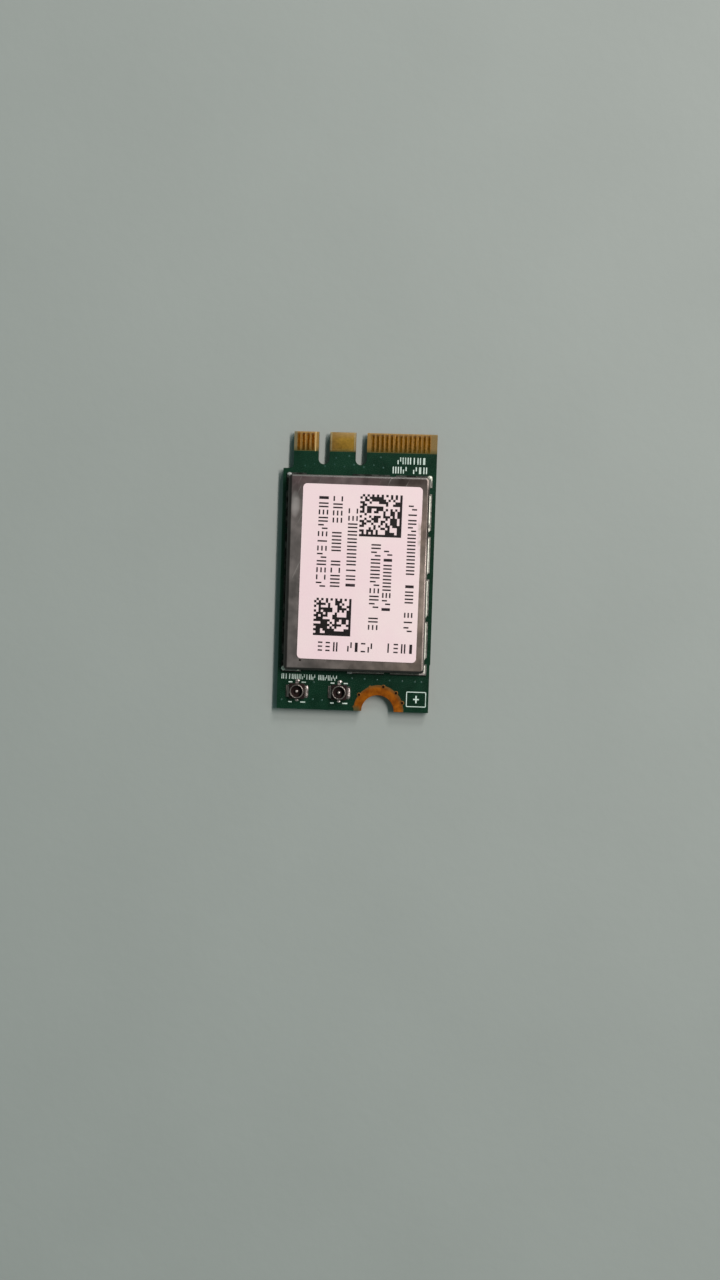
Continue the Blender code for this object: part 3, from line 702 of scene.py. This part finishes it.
jack_moulding = moulding_finish("jack_moulding", (0.008, 0.0035, 0.003), (0.02, 0.008, 0.007), 0.42, 0.25)
chip_moulding = moulding_finish("chip_moulding", (0.014, 0.014, 0.016), (0.028, 0.028, 0.03), 0.55)
chip_ceramic = moulding_finish("chip_ceramic", (0.25, 0.17, 0.1), (0.42, 0.29, 0.18), 0.5)
via_shadow = moulding_finish("via_shadow", (0.004, 0.002, 0.001), (0.009, 0.004, 0.002), 0.7, 0.05)

slot_finishes = {
    "solder_mask": lacquer,
    "contact_gold": finger_gold,
    "ground_copper": copper,
    "tinned_steel": frame_tin,
    "label_paper": paper,
    "dark_moulding": jack_moulding,
    "jack_metal": jack_metal,
    "chip_moulding": chip_moulding,
    "chip_ceramic": chip_ceramic,
}


def dress_nodes():
    """Gives every CAD node the finish of its own material slot."""
    for part in frame["record"]["subparts"]:
        node = frame["nodes"][part["node"]]
        finish = slot_finishes[part["material_slot"]]
        node.data.materials.clear()
        node.data.materials.append(finish)


# Board details

def tented_vias():
    """Vias closed by the lacquer, which show as small pale domes."""
    shape = bmesh.new()
    for height, places in ((0.022, tented_places), (0.006, faint_places)):
        dome = ((0.11, -thin_sink), (0.08, 0.6 * height), (0.04, 0.9 * height), (0.002, height))
        for place in places:
            rows = [[(x, y, board_top + lift) for x, y in circle(place, radius, 16)] for radius, lift in dome]
            add_bands(shape, rows, capped=True)
    make_piece("tented_vias", shape, via_lacquer, smooth_below=80.0)


def trace_path(shape, points, width):
    """A raised copper trace under the lacquer, as a chain of short plates, each a hair over the last."""
    for index, (first, second) in enumerate(zip(points, points[1:])):
        start, end = Vector(first), Vector(second)
        length = (end - start).length + width * 0.4
        turn = math.atan2(end.y - start.y, end.x - start.x)
        outline = rectangle((start + end) / 2, length, width, turn)
        add_slab(shape, outline, board_top - thin_sink, board_top + trace_height + index * trace_step)


def relief_traces():
    """The copper traces that stand out faintly under the lacquer."""
    shape = bmesh.new()
    for lean, steps in ((0.35, left_traces), (-0.5, right_traces)):
        for step in steps:
            x = first_trace_x + contact_pitch * step
            trace_path(shape, list(zip((x, x, x + lean, x + lean), trace_stops)), trace_width)
    for centre in jack_middles:
        trace_path(shape, [(centre.x, centre.y + 1.3), (centre.x, lid_low.y - 0.1)], jack_trace_width)
    make_piece("relief_traces", shape, lacquer)


# Printed marks: rows of plain strokes that say nothing

def mark_strokes(kind, width, height, stroke):
    """One mark's bars as (centre, width, height), about the mark's own middle."""
    side = (width - stroke) / 2
    end = (height - stroke) / 2
    return {
        "bar": [((0, 0), stroke, height)],
        "bars": [((-side, 0), stroke, height), ((side, 0), stroke, height)],
        "stack": [((0, -end), width, stroke), ((0, end), width, stroke)],
        "thick": [((0, 0), stroke * 1.9, height)],
        "step": [((-side, -height / 5), stroke, height * 0.6), ((side, height / 5), stroke, height * 0.6)],
        "ladder": [((0, shift), width, stroke) for shift in (-end, 0, end)],
    }[kind]


def mark_row(shape, draw, levels, kinds, start, along, length, height, advance, stroke, gaps=()):
    """Marks from start along a direction, leaving the gaps given as shares of the length."""
    along = Vector(along).normalized()
    turn = math.atan2(along.y, along.x)
    spin = Matrix.Rotation(turn, 2)
    count = int(length / advance)
    for index in range(count):
        kind = kinds[draw.randrange(len(kinds))]
        share = (index + 0.5) / count
        if any(low < share < high for low, high in gaps):
            continue
        middle = Vector(start) + along * (share * length)
        for centre, width, tall in mark_strokes(kind, advance * mark_share, height, stroke):
            add_slab(shape, rectangle(middle + spin @ Vector(centre), width, tall, turn), *levels)


def code_square(shape, draw, levels, centre, side, modules):
    """A square of random modules with two solid and two broken borders. It encodes nothing."""
    module = side / modules
    spin = Matrix.Rotation(label_turn, 2)
    last = modules - 1

    def filled(column, row):
        if column == last or row == 0:
            return True
        if column == 0:
            return row % 2 == 0
        if row == last:
            return column % 2 == 1
        return draw.random() < code_cover

    for row in range(modules):
        run = 0
        for column in range(modules + 1):
            if column < modules and filled(column, row):
                run += 1
                continue
            if run:
                offset = Vector((column - run / 2, row + 0.5)) * module - Vector((side, side)) / 2
                place = Vector(centre) + spin @ offset
                add_slab(shape, rectangle(place, run * module, module * 1.02, label_turn), *levels)
            run = 0


def label_print():
    """The label's rows of dark marks and its two code squares."""
    draw = random.Random(41)
    levels = (label_high.z - 0.01, label_high.z + ink_height)
    rows = bmesh.new()
    for x, near, length, height, gaps in label_rows:
        mark_row(rows, draw, levels, label_kinds, (x, near), (0.012, 1.0), length, height,
                 label_row_advance, ink_stroke, gaps)
    for right, length in foot_row_words:
        mark_row(rows, draw, levels, label_kinds, (right, foot_row_y), (-1.0, 0.02), length,
                 foot_row_height, foot_row_advance, ink_stroke)
    make_piece("label_print_rows", rows, dark_ink)
    for name, centre, side, modules in label_codes:
        code = bmesh.new()
        code_square(code, draw, levels, centre, side, modules)
        make_piece(f"label_code_{name}", code, code_ink)


def board_legend():
    """White legend on the lacquer: rows by the contacts and the jacks, a box with a cross, and dashes."""
    draw = random.Random(7)
    bottom = board_top - thin_sink
    top = board_top + legend_height
    rows = bmesh.new()
    for row in legend_rows:
        mark_row(rows, draw, (bottom, top), legend_kinds, *row)
    make_piece("legend_rows", rows, white_ink)
    box = bmesh.new()
    width, length = box_size
    outer = rounded_rectangle(box_middle, width, length, box_corner)
    inner = rounded_rectangle(box_middle, width - 2 * box_line, length - 2 * box_line, box_corner - box_line)
    section = ((inner, bottom), (outer, bottom), (outer, top), (inner, top), (inner, bottom))
    add_bands(box, [[(x, y, z) for x, y in outline] for outline, z in section])
    add_slab(box, rectangle(box_middle, cross_stroke, cross_length), bottom, top)
    arm = (cross_width - cross_stroke) / 2
    for side in (-1, 1):
        middle = box_middle + Vector((side * (cross_stroke + arm) / 2, 0.0))
        add_slab(box, rectangle(middle, arm, cross_stroke), bottom, top)
    make_piece("legend_box", box, white_ink)
    dashes = bmesh.new()
    for centre in jack_middles:
        for y, spans in dash_spans:
            for start, end in spans:
                place = (centre.x + (start + end) / 2, centre.y + y)
                add_slab(dashes, rectangle(place, end - start, dash_width), bottom, top)
    make_piece("jack_corner_dashes", dashes, white_ink)


# Contacts and the copper half ring

def wide_contact():
    """The wide pad between the notches, which runs down over the tongue's bevelled tip."""
    shape = bmesh.new()
    thickness = pad_high.z - pad_low.z
    bevel_start = board_tip - 0.17
    bevel_drop = 0.115
    stations = ((pad_low.y, 0.0), (bevel_start, 0.0), (board_tip - 0.005, -bevel_drop))
    rows = []
    for y, drop in stations:
        top = pad_high.z + drop
        rows.append([(pad_low.x, y, top - thickness), (pad_high.x, y, top - thickness),
                     (pad_high.x, y, top), (pad_low.x, y, top)])
    add_bands(shape, rows, capped=True)
    make_piece("wide_ground_contact_skin", shape, pad_gold, ("wide_ground_contact",))


def copper_half_ring():
    """The plated half ring, with a slightly uneven rim that stands a hair above the lacquer."""
    shape = bmesh.new()
    centre = Vector(land_middle)
    steps = 2 * circle_steps
    wall = hole_radius + 0.03
    top = ring_high.z + land_lift
    bottom = ring_low.z - land_lift
    rows = []
    for i in range(steps + 1):
        angle = math.pi * i / steps
        ray = Vector((math.cos(angle), math.sin(angle)))
        swell = 0.12 * ray.y + (0.15 if ray.x < 0 else 0.06) * ray.x
        outer = land_radius + swell + 0.03 * noise.noise(Vector((ray.x * 6.0, ray.y * 6.0, 1.7)))
        sketch = (
            (outer, top - 0.035), (outer - 0.012, top), (hole_radius + 0.02, top), (hole_radius, top - 0.02),
            (hole_radius, bottom + 0.02), (hole_radius + 0.02, bottom), (outer - 0.012, bottom),
            (outer, bottom + 0.035), (wall, bottom + 0.035), (wall, top - 0.035),
        )
        rows.append([(*(centre + ray * radius), height) for radius, height in sketch])
    add_bands(shape, rows, capped=True)
    make_piece("screw_ground_ring_skin", shape, copper, ("screw_ground_ring",), 35.0)


def screw_ring_vias():
    """The vias along the half ring's rim: a copper rim each, round a dark disc of painted shade in its hole,
    or a closed copper disc.
    """
    rims = bmesh.new()
    holes = bmesh.new()
    root = board_top - 0.02
    top = board_top + 0.012
    profile = [(via_radius, root), (via_rim_radius, root), (via_rim_radius, top - 0.004)]
    profile += [(via_rim_radius - 0.02, top), (via_radius, top)]
    for turn, reach in via_places:
        place = arc(land_middle, reach, turn, turn, 1)[0]
        add_turned(rims, place, profile, 24)
        add_slab(holes, circle(place, via_radius + 0.01), root, board_top + via_hole_lift)
    for turn, reach in closed_via_places:
        add_slab(rims, circle(arc(land_middle, reach, turn, turn, 1)[0], closed_via_radius), root, top)
    make_piece("screw_ring_via_rims", rims, copper, (), 35.0)
    make_piece("screw_ring_via_holes", holes, via_shadow)


# Shield can

def lid_skin():
    """The pressed lid with fine bends, an open underside and a real wall."""
    shape = bmesh.new()
    bmesh.ops.create_cube(shape, size=1.0)
    bmesh.ops.scale(shape, vec=lid_high - lid_low, verts=shape.verts)
    bmesh.ops.translate(shape, vec=lid_middle, verts=shape.verts)
    floor = [f for f in shape.faces if f.normal.z < -0.5]
    bmesh.ops.delete(shape, geom=floor, context="FACES_ONLY")
    rounding = {"segments": bend_steps, "profile": 0.5, "affect": "EDGES"}
    upright = [e for e in shape.edges if abs(e.verts[0].co.z - e.verts[1].co.z) > 0.5]
    bmesh.ops.bevel(shape, geom=upright, offset=lid_corner, **rounding)
    crown = [e for e in shape.edges if all(v.co.z > lid_high.z - 0.001 for v in e.verts)]
    bmesh.ops.bevel(shape, geom=crown, offset=lid_bend, **rounding)
    shape.normal_update()
    flat = [f for f in shape.faces if f.normal.z > 0.999]
    bmesh.ops.inset_region(shape, faces=flat, thickness=0.02)
    lid = make_piece("shield_lid_skin", shape, sheet_tin, ("shield_lid",), 35.0)
    wall = lid.modifiers.new("wall", "SOLIDIFY")
    wall.thickness = lid_wall * MM
    wall.offset = -1.0
    wall.use_even_offset = True


def frame_solder():
    """Solder along the frame's feet. The lit right side's beads are in the bright solder, a painted
    highlight; the left and near beads are in the frame's tin with its painted shade.
    """
    bright, pale, grey, shaded = (bmesh.new() for _ in range(4))
    base = board_top - 0.01
    seat = foot_top - 0.02
    x = frame_high.x - 0.235
    for seed, (far_end, near_end) in enumerate(right_bead_spans):
        width = 0.2 if far_end > 0 else 0.17
        add_bead(bright, (x, near_end), (x, far_end), width, 0.06, seat, seed, 0.06)
    x = frame_low.x + 0.06
    for index in range(4):
        y = lid_middle.y + (index - 1.5) * left_bead_pitch
        add_bead(shaded, (x, y + left_bead_half), (x, y - left_bead_half), 0.2, 0.13, base, index + 9)
    y = frame_low.y + 0.14
    for seed, (start, end) in enumerate(near_bead_spans, 41):
        add_bead(shaded, (start, y), (end, y), 0.2, 0.12, base, seed)
    y = frame_low.y + 0.2
    add_bead(grey, (frame_low.x + 0.3, y), (-6.15, y), 0.12, 0.06, foot_top - 0.03, 15)
    right, near = frame_high.x - 0.18, frame_low.y + 0.12
    add_slab(pale, [(right - 0.68, near), (right, near), (right, near + 0.58)], seat, seat + 0.05)
    # The two near-left lumps are in the bright solder too, a painted highlight on lumps that lie in the can's
    # shade.
    lumps = (
        (bright, frame_high.x - 0.28, frame_high.y - 0.18, foot_top, (0.27, 0.2, 0.12), 6, 0.15),
        (bright, frame_high.x - 0.11, frame_high.y - 0.4, foot_top, (0.09, 0.22, 0.06), 5, 0.1),
        (bright, frame_low.x + 0.2, frame_low.y + 0.36, seat, (0.22, 0.26, 0.09), 14, 0.2),
        (bright, -6.05, frame_low.y + 0.24, seat, (0.15, 0.11, 0.06), 16, 0.2),
        (grey, frame_low.x + 0.27, frame_high.y - 0.18, foot_top + 0.03, (0.26, 0.21, 0.12), 7, 0.15),
        (grey, -0.42, frame_low.y + 0.1, seat, (0.3, 0.12, 0.06), 17, 0.2),
        (shaded, frame_low.x + 1.0, frame_low.y + 0.12, board_top, (1.0, 0.2, 0.1), 8, 0.15),
    )
    for shape, x, y, z, size, seed, rough in lumps:
        add_lump(shape, (x, y, z), size, seed, rough)
    kinds = (("bright", bright, bright_solder), ("pale", pale, pale_solder),
             ("grey", grey, grey_solder), ("shaded", shaded, frame_tin))
    for kind, shape, finish in kinds:
        make_piece(f"frame_solder_{kind}", shape, finish, smooth_below=60.0)


def label_sheet():
    """The label, with its worn and slightly ragged right edge."""
    draw = random.Random(12)
    outline = rounded_rectangle(label_middle.xy + label_shift, *label_size, label_corner, label_turn)
    ragged = []
    for first, second in zip(outline, outline[1:] + outline[:1]):
        ragged.append(first)
        right_side = first[0] > 0 and abs(first[1] - second[1]) > label_size[1] / 2
        if right_side:
            for i in range(1, worn_steps):
                x, y = Vector(first).lerp(Vector(second), i / worn_steps)
                worn = 0.06 * math.exp(-((y - 5.0) / 0.35) ** 2) + 0.03 * math.exp(-((y - 3.2) / 1.2) ** 2)
                x -= worn * (0.6 + 0.8 * draw.random()) + 0.012 * draw.random()
                ragged.append((x, y))
    shape = bmesh.new()
    add_slab(shape, ragged, label_low.z, label_high.z)
    make_piece("product_label_sheet", shape, paper, ("product_label",), 50.0)


def dirt_speck():
    """One dark crumb at the label's near left corner."""
    shape = bmesh.new()
    add_lump(shape, (*speck_place, lid_high.z), (0.12, 0.1, 0.04), 3, 0.4, 12)
    make_piece("dirt_speck", shape, via_shadow, (), 60.0)


# Antenna jacks

def jack_ring_skin(number, centre):
    """The ring contact with its snap groove and rounded lip, and its two ground straps."""
    shape = bmesh.new()
    top = board_top + ring_height
    bottom = board_top + ring_seat
    lip = ring_wall / 2
    groove = ring_radius - ring_groove
    profile = [(ring_radius, bottom), (ring_radius, top - 2 * ring_rim - 0.03)]
    profile += [(groove, top - 2 * ring_rim), (groove, top - ring_rim), (ring_radius, top - ring_rim + 0.03)]
    profile += arc((ring_radius - lip, top - lip), lip, 0, 180, 8)
    profile += [(ring_radius - ring_wall, bottom)]
    add_turned(shape, centre, profile)
    arm = bottom + strap_metal
    for side in (-1, 1):
        leg = side * (housing_side / 2 + 0.07)
        bars = (
            (side * (ring_radius - 0.06), leg + side * 0.04, strap_width, arm - 0.07, arm),
            (leg - 0.04, leg + 0.04, strap_width - 0.008, metal_base + 0.004, arm - 0.004),
            (leg, side * strap_reach, strap_width, metal_base, metal_base + strap_metal),
        )
        for start, end, width, low, high in bars:
            middle = (centre.x + (start + end) / 2, centre.y)
            add_slab(shape, rectangle(middle, abs(end - start), width), low, high)
    make_piece(f"jack_ring_{number}_skin", shape, jack_metal, (f"jack_ring_{number}",), 35.0)


def jack_pin_skin(number, centre):
    """The centre pin with a domed tip, and its tail towards the can."""
    shape = bmesh.new()
    shoulder = board_top + pin_height - pin_dome
    profile = [(0.001, board_top + 0.05), (pin_radius, board_top + 0.05), (pin_radius, shoulder)]
    for turn in (18, 36, 54, 72, 90):
        tilt = math.radians(turn)
        profile.append((max(0.001, pin_radius * math.cos(tilt)), shoulder + pin_dome * math.sin(tilt)))
    add_turned(shape, centre, profile, 32)
    middle = (centre.x, centre.y + (tail_reach - tail_width / 2) / 2)
    tail = rectangle(middle, tail_width, tail_reach + tail_width / 2)
    add_slab(shape, tail, metal_base, metal_base + strap_metal)
    make_piece(f"jack_pin_{number}_skin", shape, pale_solder, (f"jack_pin_{number}",), 35.0)


def jack_housing_skin(number, centre):
    """The square moulding, dished inside the ring."""
    shape = bmesh.new()
    top = board_top + housing_height
    eased_side = housing_side - 2 * housing_ease
    outline = rounded_rectangle(centre.xy, housing_side, housing_side, housing_corner)
    eased = rounded_rectangle(centre.xy, eased_side, eased_side, housing_corner - 0.02)
    well = circle(centre.xy, ring_radius - ring_wall + 0.02, len(outline))
    section = ((outline, metal_base), (outline, top - housing_ease), (eased, top),
               (well, top), (well, top - well_depth))
    add_bands(shape, [[(x, y, z) for x, y in points] for points, z in section], capped=True)
    make_piece(f"jack_housing_{number}_skin", shape, jack_moulding,
               (f"jack_housing_{number}",), 35.0)


def jack_boss(number, centre):
    """The moulding's raised boss round the pin."""
    shape = bmesh.new()
    floor = board_top + housing_height - well_depth
    inner = pin_radius + 0.02
    profile = [(inner, floor - 0.03), (boss_radius, floor - 0.03), (boss_radius, floor + boss_height - 0.03)]
    profile += [(boss_radius - 0.03, floor + boss_height), (inner, floor + boss_height)]
    add_turned(shape, centre, profile, 40)
    make_piece(f"jack_boss_{number}", shape, jack_moulding, (), 35.0)


def jack_solder(number, centre):
    """Solder on both ground straps and on the signal tail."""
    shape = bmesh.new()
    beads = ((1.01, -0.74, 0.68, 0.46, 0.14, number), (-0.95, 0.72, -0.72, 0.16, 0.12, number + 4))
    for x, start, end, width, height, seed in beads:
        ends = [(centre.x + x, centre.y + y) for y in (start, end)]
        add_bead(shape, *ends, width, height, board_top - 0.01, seed, 0.2)
    add_lump(shape, (centre.x + 0.06, centre.y + 1.14, board_top + 0.02), (0.24, 0.19, 0.16), number, 0.3)
    add_lump(shape, (centre.x - 0.02, centre.y - 0.98, board_top), (0.2, 0.14, 0.07), number + 7, 0.2)
    make_piece(f"jack_solder_{number}", shape, pale_solder, (), 60.0)


# Underside

def underside_pads():
    """Plain test pads and vias on the hidden side."""
    draw = random.Random(3)
    pads = bmesh.new()
    taken = []
    for row in range(4):
        for column in range(5):
            x = pad_start[0] + pad_pitch[0] * column + 0.3 * draw.random()
            y = pad_start[1] + pad_pitch[1] * row + 0.5 * draw.random()
            add_slab(pads, circle((x, y), pad_radius), -pad_thickness, 0.01)
            taken.append(Vector((x, y)))
    make_piece("lower_test_pads", pads, pad_gold)
    vias = bmesh.new()
    for index in range(60):
        place = Vector((draw.uniform(-7.6, 7.6), draw.uniform(-11.2, 11.0)))
        if all((place - other).length > lower_via_room for other in taken):
            add_slab(vias, circle(place, lower_via_radius, 12), -0.006, 0.01)
            taken.append(place)
    make_piece("lower_vias", vias, via_lacquer)


# Stage

def stage():
    """A plain pale floor."""
    look = Look("floor_paint", specular=0.2)
    clouds = look.patches(0.05, 3.0, 0.3, 0.7)
    look.colour(look.mix(clouds, floor_colour, tuple(0.96 * c for c in floor_colour)))
    look.feed(0.7, look.shader.inputs["Roughness"])
    finish = look.relief((look.noise(0.8, 3.0), 0.02))
    shape = bmesh.new()
    add_slab(shape, rectangle((0.0, 0.0), floor_side, floor_side), -floor_drop - floor_thickness, -floor_drop)
    floor = new_mesh("floor", shape, finish)


def lights():
    """A long strip light on the right and a low soft sun beyond the contacts."""
    lamp = bpy.data.lights.new("key_light", "AREA")
    lamp.shape = "RECTANGLE"
    lamp.size = light_width * MM
    lamp.size_y = light_reach * light_height * MM
    lamp.energy = light_power
    lamp.color = light_colour
    key = add_object("key_light", lamp)
    key.location = Vector((light_slant, light_reach / 2, 1.0)) * light_height * MM
    key.rotation_euler = (0.0, math.atan(light_slant), 0.0)
    sun = bpy.data.lights.new("window_light", "SUN")
    sun.energy = window_strength
    sun.angle = window_softness
    window = add_object("window_light", sun)
    window.rotation_euler = window_direction.to_track_quat("Z", "Y").to_euler()


def sky():
    """A sky that is pale round the horizon and dim overhead, and lights matt surfaces less than it shows."""
    world = bpy.data.worlds.new("soft_sky")
    bpy.context.scene.world = world
    world.use_nodes = True
    nodes = Nodes(world.node_tree)
    direction = nodes.add("TexCoord").outputs["Generated"]
    lit_side = tuple(Vector((light_slant, light_reach / 2, 0.0)).normalized())
    toward_light = nodes.add("VectorMath", direction, lit_side, operation="DOT_PRODUCT")
    horizon = nodes.between(toward_light.outputs["Value"], -1.0, 1.0, far_horizon_light, lit_horizon_light)
    light = nodes.between(nodes.split(direction)["Z"], pale_sky_height, 1.0, horizon, overhead_light)
    ray = nodes.add("LightPath").outputs
    seen = nodes.math("MAXIMUM", ray["Is Camera Ray"], ray["Is Glossy Ray"])
    seen = nodes.math("MAXIMUM", seen, ray["Is Transmission Ray"])
    share = nodes.between(seen, 0.0, 1.0, sky_on_surfaces, 1.0)
    background = nodes.tree.nodes["Background"]
    nodes.feed(nodes.math("MULTIPLY", light, share), background.inputs["Strength"])
    nodes.feed(nodes.mix(seen, sky_colour_on_surfaces, sky_colour), background.inputs["Color"])


def camera():
    """The photograph's camera. Its three turns bring the card's axes to the camera's."""
    x, y, z = (math.radians(angle) for angle in camera_turns)
    to_camera = Matrix.Rotation(z, 3, "Z") @ Matrix.Rotation(y, 3, "Y") @ Matrix.Rotation(x, 3, "X")
    data = bpy.data.cameras.new("camera")
    data.sensor_width = camera_sensor
    data.lens = camera_lens
    data.clip_start = MM
    data.clip_end = camera_far_end * MM
    eye = add_object("camera", data)
    eye.matrix_world = Matrix.Translation(camera_place * MM) @ to_camera.transposed().to_4x4()
    bpy.context.scene.camera = eye


def build():
    camera()
    lights()
    sky()
    stage()
    dress_nodes()
    tented_vias()
    relief_traces()
    board_legend()
    wide_contact()
    copper_half_ring()
    screw_ring_vias()
    lid_skin()
    frame_solder()
    label_sheet()
    dirt_speck()
    label_print()
    for number, centre in enumerate(jack_middles, 1):
        jack_ring_skin(number, centre)
        jack_pin_skin(number, centre)
        jack_housing_skin(number, centre)
        jack_boss(number, centre)
        jack_solder(number, centre)
    underside_pads()
    bpy.context.scene.view_settings.view_transform = "Standard"


build()
bpy.context.view_layer.update()
